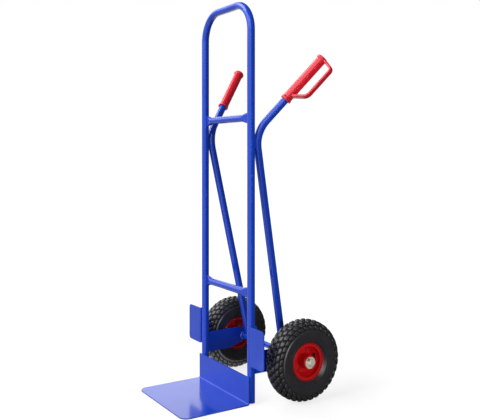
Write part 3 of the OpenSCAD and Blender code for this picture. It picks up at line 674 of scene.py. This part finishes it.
def grips():
    """The grips as one moulding each: the knuckle guard's roots flow into the barrel."""
    for side in SIDES:
        moulded = NODES[f"{side}_grip"]
        mesh = evaluated_copy(
            moulded,
            ("REMESH", {"mode": "VOXEL", "voxel_size": GRIP_VOXEL}),
            ("SHRINKWRAP", {"target": moulded, "wrap_method": "NEAREST_SURFACEPOINT"}))
        even_out(mesh, EVEN_ROUNDS)
        smooth_all(mesh)
        piece(f"{side}_moulded_grip", mesh, "grip_plastic", "frame", f"{side}_grip")


# ---- weld beads ---------------------------------------------------------------

BEAD_VOXEL = 0.6 * MM
RIPPLE_PITCH = 2.6 * MM
RIPPLE_LIFT = 0.55 * MM
RIPPLE_LEVEL = 0.45             # how far up a ripple the bead's plain surface lies
RIPPLE_WOBBLE = 0.8 * MM
LUMPS = 260                     # noise scale of the small lumps, in features a metre
LUMP_LIFT = 0.5 * MM
STRAIGHT = 0.2                  # a bead is straight if it spreads less than this share sideways
WELD_NODES = ("crossbar_welds", "toe_plate_welds", "guard_welds", "bracket_welds",
              "axle_welds", "handle_welds", "foot_welds")


def islands(mesh):
    """Lists of the vertices of each separate bead in a mesh."""
    owner = list(range(len(mesh.vertices)))

    def top(i):
        while owner[i] != i:
            owner[i] = owner[owner[i]]
            i = owner[i]
        return i

    for edge in mesh.edges:
        a, b = (top(v) for v in edge.vertices)
        owner[a] = b
    groups = {}
    for i in range(len(owner)):
        groups.setdefault(top(i), []).append(i)
    return list(groups.values())


def run_along(points):
    """How far each point lies along its bead: along a straight one, or round a ring."""
    centred = points - points.mean(0)
    spread, axes = np.linalg.eigh(centred.T @ centred / len(points))
    first, second = centred @ axes[:, 2], centred @ axes[:, 1]
    if spread[1] < STRAIGHT * spread[2]:
        return first
    return np.arctan2(second, first) * np.hypot(first, second).mean()


def ripple(mesh):
    """Lifts the surface into the ripples and small lumps of a hand-laid bead."""
    where = np.array([v.co for v in mesh.vertices])
    normals = np.array([v.normal for v in mesh.vertices])
    for group in islands(mesh):
        along = run_along(where[group])
        for i, distance in zip(group, along):
            lump = noise.noise(Vector(where[i]) * LUMPS)
            wobble = RIPPLE_WOBBLE * lump
            crest = abs(math.cos(math.pi * (distance + wobble) / RIPPLE_PITCH))
            lift = RIPPLE_LIFT * (crest - RIPPLE_LEVEL) + LUMP_LIFT * lump
            where[i] += normals[i] * lift
    mesh.vertices.foreach_set("co", where.ravel())
    mesh.update()


def weld_beads():
    """Every weld bead as a rounded seam with ripples."""
    for name in WELD_NODES:
        mesh = evaluated_copy(
            NODES[name],
            ("REMESH", {"mode": "VOXEL", "voxel_size": BEAD_VOXEL}),
            ("SMOOTH", {"factor": 0.5, "iterations": 4}))
        ripple(mesh)
        smooth_all(mesh)
        piece(f"{name}_rippled", mesh, "frame_paint", "frame", name)


# ---- studio -------------------------------------------------------------------

CAMERA_PLACE = Vector((1.9686, -1.2008, 0.7831))
CAMERA_TURN = 57.95             # degrees to the left of straight ahead
CAMERA_LENS = 51.56             # mm, as the sensor's width
SENSOR_WIDTH = 36
HORIZON_SHIFT = -0.1133
WORLD_FILL = 0.13               # brightness of the surroundings as a source of light
SURROUND_DIM = 0.06             # and in gloss, away from its bright sides
FLOOR_RADIUS = 60
FLOOR_WHITE = 0.9
FLOOR_BOUNCE = 0.30             # paleness of the floor for light that bounces off it
FLOOR_GLOW = 1.1                # the floor's own light for the eye, where no shadow falls
SHADOW_SHARE = 0.28             # how much of the floor's look comes from the lamps,
SHADOW_REACH = (0.4, 1.1)       # fading over these distances from the truck


def camera():
    data = bpy.data.cameras.new("camera")
    data.lens = CAMERA_LENS
    data.sensor_width = SENSOR_WIDTH
    data.shift_y = HORIZON_SHIFT
    made = bpy.data.objects.new("camera", data)
    made.location = CAMERA_PLACE
    made.rotation_euler = (math.radians(90), 0, math.radians(CAMERA_TURN))
    bpy.context.scene.collection.objects.link(made)
    bpy.context.scene.camera = made


def lamp(name, place, aim, size, power, mirrored):
    """A round soft lamp; gloss shows it only where mirrored is true."""
    data = bpy.data.lights.new(name, "AREA")
    data.shape = "DISK"
    data.size = size
    data.energy = power
    made = bpy.data.objects.new(name, data)
    made.location = place
    made.rotation_euler = (Vector(aim) - Vector(place)).to_track_quat("-Z", "Y").to_euler()
    made.visible_glossy = mirrored
    bpy.context.scene.collection.objects.link(made)


def lamps():
    lamp("key_lamp", place=(0.2, -4.9, 4.2), aim=(0, 0, 0.5),
         size=3.6, power=300, mirrored=False)
    lamp("ceiling_lamp", place=(-1.1, -1.4, 3.2), aim=(0, 0, 0.4),
         size=2.0, power=40, mirrored=True)
    lamp("fill_lamp", place=(3.0, -0.3, 0.6), aim=(0, 0, 0.4),
         size=1.0, power=29, mirrored=False)
    lamp("rear_lamp", place=(-2.8, 2.4, 1.3), aim=(0, 0, 0.5),
         size=1.4, power=60, mirrored=False)


def surround_group():
    """What gloss finds round the truck by direction: a dim studio with three bright sides."""
    graph, given, out = new_group("studio_surround", [("Direction", "Vector", (0, 0, 0))],
                                  [("Light", "Float")])

    def vector(operation, *values):
        made = graph.node("ShaderNodeVectorMath", operation=operation)
        for socket, value in zip(made.inputs, values):
            graph.feed(socket, value)
        return made.outputs

    flat = vector("MULTIPLY", given["Direction"], (1, 1, 0))["Vector"]
    level = vector("NORMALIZE", flat)["Vector"]
    whole = vector("NORMALIZE", given["Direction"])["Vector"]
    height = graph.node("ShaderNodeSeparateXYZ", Vector=whole).outputs["Z"]
    low = graph.ramp(height, 0.62, 0.85, 1.0, 0.0)
    backdrop = graph.math("MULTIPLY", low, graph.ramp(height, 0.12, 0.28, 0.40, 1.6))
    softbox = graph.math("MULTIPLY", low, graph.ramp(height, 0.05, 0.35, 0.8, 2.4))
    rear_glow = graph.ramp(height, 0.02, 0.12, 0.7, 0.0)
    # Each bright side: its azimuth, full to one angle each side of it and gone at the next.
    sides = ((200, 50, 52.5, backdrop), (-72, 28, 55, softbox), (160, 15, 40, rear_glow))
    light = SURROUND_DIM
    for azimuth, full, edge, strength in sides:
        turn = math.radians(azimuth)
        toward = vector("DOT_PRODUCT", level, (math.cos(turn), math.sin(turn), 0))["Value"]
        side = graph.ramp(toward, math.cos(math.radians(edge)), math.cos(math.radians(full)))
        light = graph.math("MULTIPLY_ADD", side, strength, light)
    graph.feed(out["Light"], light)
    return graph.tree


def studio_world(surround):
    """White for the eye, a directed surround for gloss, and a dim even light for the rest."""
    world = bpy.data.worlds.new("studio")
    bpy.context.scene.world = world
    world.use_nodes = True
    graph = Graph(world.node_tree)
    sky = world.node_tree.nodes["Background"]
    path = graph.node("ShaderNodeLightPath").outputs
    around = graph.node("ShaderNodeGroup", node_tree=surround)
    graph.feed(around.inputs["Direction"], graph.node("ShaderNodeTexCoord").outputs["Generated"])
    seen = graph.math("ADD", path["Is Camera Ray"], path["Is Transmission Ray"])
    glossy = graph.math("MULTIPLY", path["Is Glossy Ray"], around.outputs["Light"])
    diffuse = graph.math("MULTIPLY", path["Is Diffuse Ray"], WORLD_FILL)
    strength = graph.math("ADD", graph.math("ADD", seen, glossy), diffuse)
    sky.inputs["Color"].default_value = shade(1, 1, 1)
    graph.feed(sky.inputs["Strength"], strength)


def floor_material(surround):
    """White with a faint shadow for the eye, the surround for gloss, and dimmer for the rest."""
    material = bpy.data.materials.new("studio_floor")
    material.use_nodes = True
    graph = Graph(material.node_tree)
    material.node_tree.nodes.clear()
    path = graph.node("ShaderNodeLightPath").outputs
    place = graph.node("ShaderNodeTexCoord").outputs["Object"]
    reach = graph.node("ShaderNodeVectorMath", operation="LENGTH", Vector=place).outputs["Value"]
    lit = graph.ramp(reach, *SHADOW_REACH, SHADOW_SHARE, 0.0)
    pale = graph.mix_shaders(lit, graph.emission(FLOOR_GLOW), graph.matt(FLOOR_WHITE))
    around = graph.node("ShaderNodeGroup", node_tree=surround)
    graph.feed(around.inputs["Direction"], place)
    mirrored = graph.emission(around.outputs["Light"])
    unseen = graph.mix_shaders(path["Is Glossy Ray"], graph.matt(FLOOR_BOUNCE), mirrored)
    direct = graph.math("ADD", path["Is Camera Ray"], path["Is Transmission Ray"])
    out = graph.node("ShaderNodeOutputMaterial")
    graph.feed(out.inputs["Surface"], graph.mix_shaders(direct, unseen, pale))
    return material


def floor(surround):
    """A wide round floor under the truck, which is no part of it."""
    mesh = bpy.data.meshes.new("floor")
    edit = bmesh.new()
    bmesh.ops.create_circle(edit, cap_ends=True, segments=96, radius=FLOOR_RADIUS)
    edit.to_mesh(mesh)
    edit.free()
    made = bpy.data.objects.new("floor", mesh)
    bpy.context.scene.collection.objects.link(made)
    mesh.materials.append(floor_material(surround))


finish_cad_nodes()
tyres()
grips()
weld_beads()
camera()
lamps()
surround = surround_group()
studio_world(surround)
floor(surround)
bpy.context.scene.view_settings.view_transform = "Standard"
